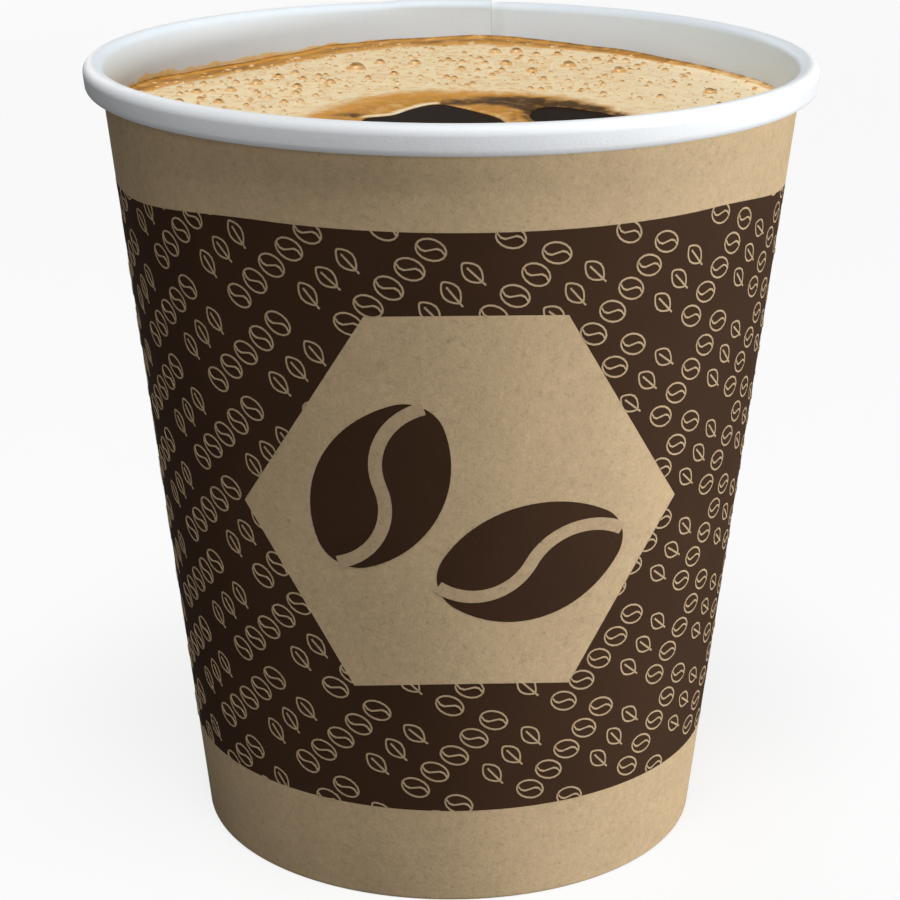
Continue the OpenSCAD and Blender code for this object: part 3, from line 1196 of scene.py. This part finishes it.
def closed_curve(points, cuts=5):
    """Smooth closed line through points in millimetres, as points in metres."""
    line, count = [], len(points)
    for i in range(count):
        p0, p1, p2, p3 = (np.array(points[(i + k) % count], float) for k in (-1, 0, 1, 2))
        for t in np.linspace(0, 1, cuts, endpoint=False):
            line.append(
                0.5
                * (
                    2 * p1
                    + (p2 - p0) * t
                    + (2 * p0 - 5 * p1 + 4 * p2 - p3) * t**2
                    + (3 * p1 - 3 * p2 + p3 - p0) * t**3
                )
            )
    return np.array(line) * MM


def distance_to(line, spots):
    """Distance of each spot from a closed line, below zero inside it."""
    nearest = np.full(len(spots), 1e9)
    inside = np.zeros(len(spots), bool)
    for a, b in zip(line, np.roll(line, -1, axis=0)):
        along = b - a
        t = np.clip((spots - a) @ along / (along @ along), 0, 1)
        nearest = np.minimum(nearest, np.linalg.norm(spots - (a + t[:, None] * along), axis=1))
        crosses = (a[1] > spots[:, 1]) != (b[1] > spots[:, 1])
        with np.errstate(divide="ignore", invalid="ignore"):
            x = a[0] + (spots[:, 1] - a[1]) / (b[1] - a[1]) * along[0]
        inside ^= crosses & (spots[:, 0] < x)
    return np.where(inside, -nearest, nearest)


def smoother(values, low, high):
    """Smooth step of an array from low to high."""
    t = np.clip((values - low) / (high - low), 0, 1)
    return t * t * (3 - 2 * t)


def foam_surface(s, drink, spots):
    """Height of the foam and its gold, brown and pale shares at each (x, y) in metres."""
    radius = np.linalg.norm(spots, axis=1)
    bearing = np.arctan2(spots[:, 1], spots[:, 0])
    edge = np.array([round_cup(FOAM_EDGE, a) for a in bearing])
    reach = wall_radius(s, drink.level, -s.paper.board)
    x, y = spots[:, 0], spots[:, 1]
    swell = np.array([noise.noise((a * 90, b * 90, 3)) for a, b in spots])
    froth = np.array([noise.noise((a * 650, b * 650, 7)) for a, b in spots])
    wisp = np.array([noise.noise((a * 240, b * 380, 1)) for a, b in spots])
    sag = 0.45 * MM * smoother(-x, 0.004, 0.03)
    height = drink.level - sag + swell * 0.18 * MM + froth * drink.froth
    blend = smoother(radius, reach - 0.012, reach - 0.0006)
    height = height * (1 - blend) + (edge + froth * 0.4 * drink.froth) * blend
    depth = np.maximum(reach - radius, 0)
    height += 0.22 * MM * np.exp(-depth / (0.35 * MM))
    left = distance_to(closed_curve(LEFT_POOL), spots) + wisp * 0.1 * MM
    right = distance_to(closed_curve(RIGHT_POOL), spots) + wisp * 0.1 * MM
    pool = np.minimum(left, right)
    height -= 0.8 * drink.pool_drop * (1 - smoother(pool, 0, 2.2 * MM))
    height -= 2 * MM * (1 - smoother(pool, -0.5 * MM, 0.1 * MM))
    # Stained band along the wall
    width = np.array([round_cup(WALL_BAND, a) for a in bearing]) * (1 + 0.22 * wisp)
    strength = smoother(width, 0.6 * MM, 3.5 * MM)
    along = depth / width
    gold = (0.55 + 0.45 * strength) * (1 - smoother(along, 0.5, 1.0))
    brown = strength * 0.5 * np.exp(-(((along - 0.3) / 0.26) ** 2))
    brown += 0.45 * np.exp(-((depth / (0.35 * MM)) ** 2))
    # Stained foam round the pool, darkest where it is thin
    halo = distance_to(closed_curve(HALO), spots) + wisp * 0.7 * MM
    gold = np.maximum(gold, smoother(-halo, -1.8 * MM, 4.0 * MM))
    brown = np.maximum(brown, 0.3 * smoother(-halo, 2.4 * MM, 5 * MM))
    thin = distance_to(closed_curve(DARK), spots) + wisp * 0.35 * MM
    dark = smoother(-thin, -2.8 * MM, 2.0 * MM) * (0.95 + 0.25 * smoother(x, 0, 0.008))
    fringe = 0.7 * (1 - smoother(right, 0.2 * MM, 2.2 * MM))
    brown = np.maximum(brown, np.maximum(dark, fringe))
    smear = ((x + 0.0102) / 0.0026) ** 2 + ((y + 0.0106) / 0.0015) ** 2
    brown = np.maximum(brown, 0.75 * np.exp(-smear))
    middle = np.exp(-(((x - 0.0066) / 0.0007) ** 2)) * smoother(-y, 0.0085, 0.0105)
    middle *= 1 - smoother(-y, 0.014, 0.017)
    brown = np.maximum(brown, 0.5 * middle)
    # Painted highlight: a pale line along the lips of the left part of the pool
    flank = smoother(-x, 0.0008, 0.0018) * smoother(y, -0.0122, -0.0104)
    pale = flank * np.exp(-(((left - 0.4 * MM) / (0.42 * MM)) ** 2))
    lip_highlight = np.exp(-(((left - 0.25 * MM) / (0.3 * MM)) ** 2)) * smoother(x, -0.001, 0.001)
    pale = np.maximum(pale, 0.34 * lip_highlight)
    gold *= 1 - pale
    brown *= 1 - pale
    # Paler, smoother foam towards the right
    pale = np.maximum(pale, 0.6 * smoother(x, 0.012, 0.034) * (1 - gold))
    return height, np.clip(np.stack([gold, brown, pale], axis=1), 0, 1)


class CUP_OT_coffee(bpy.types.Operator):
    """Pours the coffee"""

    bl_idname = "cup.coffee"
    bl_label = "Coffee"

    def execute(self, context):
        paper, drink = context.scene.cup_paper, context.scene.cup_drink
        s = section_of(paper)
        low = paper.floor_height + drink.clear
        high = drink.level - drink.thickness - drink.clear
        side = -paper.board - drink.clear
        bm = bmesh.new()
        pen = Pen(bm, upright, 0, low)
        pen.line(wall_radius(s, low, side), low, even(4))
        pen.line(wall_radius(s, high, side), high, even(4))
        pen.line(0, high, even(4))
        bmesh.ops.spin(
            bm, geom=list(bm.verts) + list(bm.edges), cent=(0, 0, 0), axis=(0, 0, 1),
            angle=2 * math.pi, steps=128, use_merge=True,
        )
        bmesh.ops.remove_doubles(bm, verts=bm.verts, dist=1e-7)
        surface = drink.level - 1.3 * drink.pool_drop
        for outline in (LEFT_POOL, RIGHT_POOL):
            self.column(bm, outline, drink.level - 2 * drink.thickness, surface)
        bmesh.ops.recalc_face_normals(bm, faces=bm.faces)
        liquid = new_object("coffee_liquid", bm, [coffee_finish("black coffee", drink.coffee)])
        smooth(liquid)
        fasten(liquid, "coffee", "coffee")
        return {"FINISHED"}

    def column(self, bm, outline, low, high):
        """Liquid that rises through the foam, a little wider than the opening in it."""
        line = closed_curve(outline, 3)
        middle = line.mean(axis=0)
        wider = 1 + 0.7 * MM / np.linalg.norm(line - middle, axis=1).mean()
        first = bm.verts.new((*(middle + (line[0] - middle) * wider), low))
        chain = [first]
        for spot in line[1:]:
            tip = bmesh.ops.extrude_vert_indiv(bm, verts=[chain[-1]])["verts"][0]
            tip.co = (*(middle + (spot - middle) * wider), low)
            chain.append(tip)
        bm.edges.new((chain[-1], first))
        loop = {e for v in chain for e in v.link_edges}
        base = bmesh.ops.contextual_create(bm, geom=list(loop))["faces"]
        raised = bmesh.ops.extrude_face_region(bm, geom=base)["geom"]
        verts = [item for item in raised if isinstance(item, bmesh.types.BMVert)]
        bmesh.ops.translate(bm, verts=verts, vec=(0, 0, high - low))
        top = [item for item in raised if isinstance(item, bmesh.types.BMFace)]
        bmesh.ops.inset_region(bm, faces=top, thickness=0.5 * MM)


class CUP_OT_foam(bpy.types.Operator):
    """Lays the foam on the coffee, with its openings and its stained edge"""

    bl_idname = "cup.foam"
    bl_label = "Foam"

    # Rings of the top, steps round it, and slices that are spun one at a time
    RINGS = 150
    STEPS = 560
    PARTS = 28

    def execute(self, context):
        paper, drink = context.scene.cup_paper, context.scene.cup_drink
        s = section_of(paper)
        reach = wall_radius(s, drink.level, -paper.board)
        low = drink.level - drink.thickness
        bm = bmesh.new()
        pen = Pen(bm, upright, 0, low)
        pen.line(wall_radius(s, low, -paper.board - drink.clear), low, even(3), "bottom")
        pen.line(reach, drink.level, even(3), "side")
        pen.line(0, drink.level, even(self.RINGS), "top")
        part_angle = 2 * math.pi / self.PARTS
        bmesh.ops.spin(
            bm, geom=list(bm.verts) + list(bm.edges), cent=(0, 0, 0), axis=(0, 0, 1),
            angle=part_angle, steps=self.STEPS // self.PARTS,
        )
        slice_mesh = bpy.data.meshes.new("foam slice")
        bm.to_mesh(slice_mesh)
        bm.free()
        whole = bmesh.new()
        for i in range(self.PARTS):
            slice_mesh.transform(Matrix.Rotation(part_angle, 4, "Z"))
            whole.from_mesh(slice_mesh)
        bmesh.ops.remove_doubles(whole, verts=whole.verts, dist=1e-6)
        bmesh.ops.recalc_face_normals(whole, faces=whole.faces)
        foam = new_object("foam_top", whole, [foam_finish("coffee foam", drink)])
        self.sculpt(foam, s, drink)
        smooth(foam, math.radians(80))
        fasten(foam, "foam", "crema")
        return {"FINISHED"}

    def sculpt(self, foam, s, drink):
        """Gives the top its relief and writes its colours."""
        mesh = foam.data
        spots = np.zeros(len(mesh.vertices) * 3)
        mesh.vertices.foreach_get("co", spots)
        spots = spots.reshape(-1, 3)
        top = spots[:, 2] > drink.level - 0.01 * MM
        height, shares = foam_surface(s, drink, spots[top][:, :2])
        spots[top, 2] = height
        radius = np.linalg.norm(spots[:, :2], axis=1)
        limit = np.array([wall_radius(s, z, -s.paper.board - 0.02 * MM) for z in spots[:, 2]])
        squeeze = np.where(radius > limit, limit / np.maximum(radius, 1e-9), 1)
        spots[:, :2] *= squeeze[:, None]
        mesh.vertices.foreach_set("co", spots.ravel())
        colours = np.zeros((len(spots), 4))
        colours[:, 3] = 1
        colours[:, 0] = 0.3
        colours[top, :3] = shares
        layer = mesh.attributes.new("crema", "FLOAT_COLOR", "POINT")
        layer.data.foreach_set("color", colours.ravel())
        mesh.update()


class CUP_OT_bubbles(bpy.types.Operator):
    """Blows the bubbles that stand on the foam"""

    bl_idname = "cup.bubbles"
    bl_label = "Bubbles"

    # Large bubbles: across and back from the cup's axis, and width, in millimetres
    LARGE = (
        (-11.1, 17.1, 2.5), (-22.1, 8.5, 1.8), (-19.8, 12.3, 1.45), (-17.3, 6.2, 1.35),
        (-8.4, 20.6, 1.5), (-4.3, 19.9, 1.7), (-25.4, -2.4, 1.35), (-24.7, 5.0, 1.5),
        (-28.4, 4.3, 1.4), (-29.8, -1.4, 1.3), (-13.7, 7.9, 1.5), (-18.0, 14.6, 1.15),
        (-16.9, 10.6, 1.1), (-24.5, 9.8, 1.1), (-17.2, 2.2, 1.1), (-16.4, -2.9, 1.0),
        (-18.2, -3.0, 1.1), (-20.1, 0.5, 0.9), (-6.6, 13.6, 1.3), (-0.4, 22.5, 1.2),
        (1.3, 21.3, 1.0), (-15.2, 12.5, 1.0), (13.7, 18.9, 2.1), (19.4, 15.2, 2.0),
        (9.3, 15.5, 1.5), (6.4, 19.5, 1.7), (28.7, 2.6, 1.7), (5.3, 27.6, 1.7),
        (7.8, 27.6, 1.8), (17.3, 23.8, 1.3), (18.8, 22.3, 1.0), (15.6, 16.5, 1.0),
        (25.2, 7.7, 0.8), (26.6, 13.9, 0.9), (23.0, -0.5, 1.1), (1.2, 16.4, 1.3),
        (3.1, 15.4, 0.9), (4.7, 12.4, 1.0), (10.5, 10.3, 1.0), (10.2, 26.2, 1.1),
        (12.7, 26.6, 1.3), (3.4, 23.3, 1.0),
    )

    def execute(self, context):
        paper, drink = context.scene.cup_paper, context.scene.cup_drink
        s = section_of(paper)
        placed = [(x * MM, y * MM, w / 2 * MM) for x, y, w in self.LARGE]
        placed += self.scatter(s, drink, placed)
        spots = np.array([(x, y) for x, y, r in placed])
        heights, shares = foam_surface(s, drink, spots)
        stamps = [self.stamp(2), self.stamp(1)]
        bm = bmesh.new()
        rise = bm.verts.layers.float.new("rise")
        for (x, y, r), z in zip(placed, heights):
            start = len(bm.verts)
            bm.from_mesh(stamps[0 if r > 0.9 * drink.bubble else 1])
            bm.verts.ensure_lookup_table()
            for vert in bm.verts[start:]:
                vert[rise] = vert.co.z
                vert.co = (x + vert.co.x * r, y + vert.co.y * r, z + (vert.co.z * 0.85 - 0.15) * r)
        film = new_object("foam_bubbles", bm, [bubble_finish("bubble film", drink)])
        smooth(film, math.radians(120))
        fasten(film, "foam")
        return {"FINISHED"}

    def stamp(self, fineness):
        bm = bmesh.new()
        bmesh.ops.create_icosphere(bm, subdivisions=fineness + 1, radius=1)
        mesh = bpy.data.meshes.new("bubble stamp")
        bm.to_mesh(mesh)
        bm.free()
        return mesh

    def scatter(self, s, drink, placed):
        """Small bubbles, clear of one another, of the pool and of the cup's wall."""
        dice = random.Random(5)
        reach = wall_radius(s, drink.level, -s.paper.board) - 1.2 * MM
        tries = []
        for i in range(10 * drink.scattered):
            angle, out = dice.uniform(0, 2 * math.pi), math.sqrt(dice.random()) * reach
            tries.append((out * math.cos(angle), out * math.sin(angle)))
        clear = distance_to(closed_curve(HALO), np.array(tries))
        found = []
        for (x, y), away in zip(tries, clear):
            r = drink.bubble * (0.22 + 0.78 * dice.random() ** 2.2)
            if away < 1 * MM or dice.random() > 0.4 + ease(away / MM / 8):
                continue
            near = (r + c + 0.05 * MM > math.hypot(x - a, y - b) for a, b, c in placed + found)
            if not any(near):
                found.append((x, y, r))
            if len(found) == drink.scattered:
                break
        return found


class CUP_OT_stage(bpy.types.Operator):
    """Sets the floor, the lights and the camera"""

    bl_idname = "cup.stage"
    bl_label = "Stage"

    def execute(self, context):
        stage = context.scene.cup_stage
        self.lay_floor(stage)
        self.light_world(context.scene, stage)
        self.lamp("key light", 83, 2, 0.9, 0.14, stage.key)
        self.lamp("top light", 0, 70, 0.6, 0.6, stage.top)
        self.lamp("overhead light", 0, 88, 0.6, 0.6, stage.crown)
        self.lamp("front light", 0, 15, 0.6, 0.6, stage.fill)
        self.lamp("rear light", -155, 20, 0.6, 0.6, stage.rear)
        self.place_camera(context.scene, stage)
        context.scene.view_settings.view_transform = "Standard"
        return {"FINISHED"}

    def lay_floor(self, stage):
        bm = bmesh.new()
        bmesh.ops.create_grid(bm, x_segments=2, y_segments=2, size=60)
        f = Finish("studio floor", 0.9, 0.1)
        seen = f.add("ShaderNodeLightPath").outputs["Is Camera Ray"]
        f.paint((0.2, 0.2, 0.2))
        lit = f.add("ShaderNodeBsdfDiffuse")
        lit.inputs["Color"].default_value = (*stage.backdrop, 1)
        glow = f.add("ShaderNodeEmission", {"Color": tuple(stage.backdrop), "Strength": 1.0})
        far = f.add("ShaderNodeVectorMath", {"Vector": f.place}, operation="LENGTH")
        faded = f.band(far.outputs["Value"], 0.25, 1.2, 0.78, 1)
        shown = f.add("ShaderNodeMixShader", {"Fac": faded})
        f.tree.links.new(lit.outputs[0], shown.inputs[1])
        f.tree.links.new(glow.outputs[0], shown.inputs[2])
        both = f.add("ShaderNodeMixShader", {"Fac": seen})
        f.tree.links.new(f.surface.outputs[0], both.inputs[1])
        f.tree.links.new(shown.outputs[0], both.inputs[2])
        f.tree.links.new(both.outputs[0], f.tree.nodes["Material Output"].inputs["Surface"])
        floor = new_object("studio_floor", bm, [f.material])

    def light_world(self, scene, stage):
        """Even light from all round, and plain white where the camera looks past the floor."""
        world = bpy.data.worlds.new("studio")
        world.use_nodes = True
        scene.world = world
        tree = world.node_tree
        tree.nodes.clear()
        out = tree.nodes.new("ShaderNodeOutputWorld")
        both = tree.nodes.new("ShaderNodeMixShader")
        path = tree.nodes.new("ShaderNodeLightPath")
        for index, strength in ((1, stage.sky), (2, 1.0)):
            ground = tree.nodes.new("ShaderNodeBackground")
            ground.inputs["Strength"].default_value = strength
            ground.inputs["Color"].default_value = (1, 1, 1, 1)
            tree.links.new(ground.outputs[0], both.inputs[index])
        tree.links.new(path.outputs["Is Camera Ray"], both.inputs[0])
        tree.links.new(both.outputs[0], out.inputs["Surface"])

    # Where the lamps point, and how far from there they hang
    AIM = Vector((0, 0, 0.05))
    DISTANCE = 1.5

    def lamp(self, name, bearing, elevation, width, height, level):
        """Soft lamp at a bearing right of the front that lights white card to this level."""
        data = bpy.data.lights.new(name, "AREA")
        data.shape = "RECTANGLE"
        data.size, data.size_y = width, height
        data.energy = level * (math.pi * self.DISTANCE) ** 2
        lamp = bpy.data.objects.new(name, data)
        b, e = math.radians(bearing), math.radians(elevation)
        away = Vector((math.sin(b) * math.cos(e), -math.cos(b) * math.cos(e), math.sin(e)))
        lamp.location = self.AIM + away * self.DISTANCE
        lamp.visible_camera = False
        lamp.rotation_euler = away.to_track_quat("Z", "Y").to_euler()
        bpy.context.scene.collection.objects.link(lamp)

    def place_camera(self, scene, stage):
        data = bpy.data.cameras.new("camera")
        data.lens = stage.lens
        camera = bpy.data.objects.new("camera", data)
        look = Matrix.Rotation(math.pi / 2 - stage.camera_down, 4, "X")
        look = look @ Matrix.Rotation(stage.camera_roll, 4, "Z")
        spot = Matrix.Translation((0, -stage.camera_back, stage.camera_up))
        camera.matrix_world = spot @ look
        scene.collection.objects.link(camera)
        scene.camera = camera


class CUP_PT_sidebar(bpy.types.Panel):
    """Lists the cup's sizes, colours and pieces"""

    bl_idname = "CUP_PT_sidebar"
    bl_label = "Paper Coffee Cup"
    bl_space_type = "VIEW_3D"
    bl_region_type = "UI"
    bl_category = "Coffee Cup"

    def draw(self, context):
        for group in SETTINGS:
            box = self.layout.box()
            box.label(text=group)
            settings = getattr(context.scene, group)
            for name in settings.__annotations__:
                box.prop(settings, name)
        for operator in OPERATORS:
            self.layout.operator(operator.bl_idname)


SETTINGS = {
    "cup_paper": CupPaper,
    "cup_print": CupPrint,
    "cup_drink": CupDrink,
    "cup_stage": CupStage,
}
OPERATORS = (
    CUP_OT_side_wall,
    CUP_OT_band_print,
    CUP_OT_panel_print,
    CUP_OT_floor_disc,
    CUP_OT_coffee,
    CUP_OT_foam,
    CUP_OT_bubbles,
    CUP_OT_stage,
)


def register():
    for cls in (*SETTINGS.values(), *OPERATORS, CUP_PT_sidebar):
        bpy.utils.register_class(cls)
    for name, group in SETTINGS.items():
        setattr(bpy.types.Scene, name, bpy.props.PointerProperty(type=group))


def unregister():
    for name in SETTINGS:
        delattr(bpy.types.Scene, name)
    for cls in (CUP_PT_sidebar, *reversed(OPERATORS), *SETTINGS.values()):
        bpy.utils.unregister_class(cls)


def main():
    register()
    for operator in OPERATORS:
        area, name = operator.bl_idname.split(".")
        getattr(getattr(bpy.ops, area), name)()


if __name__ == "__main__":
    main()
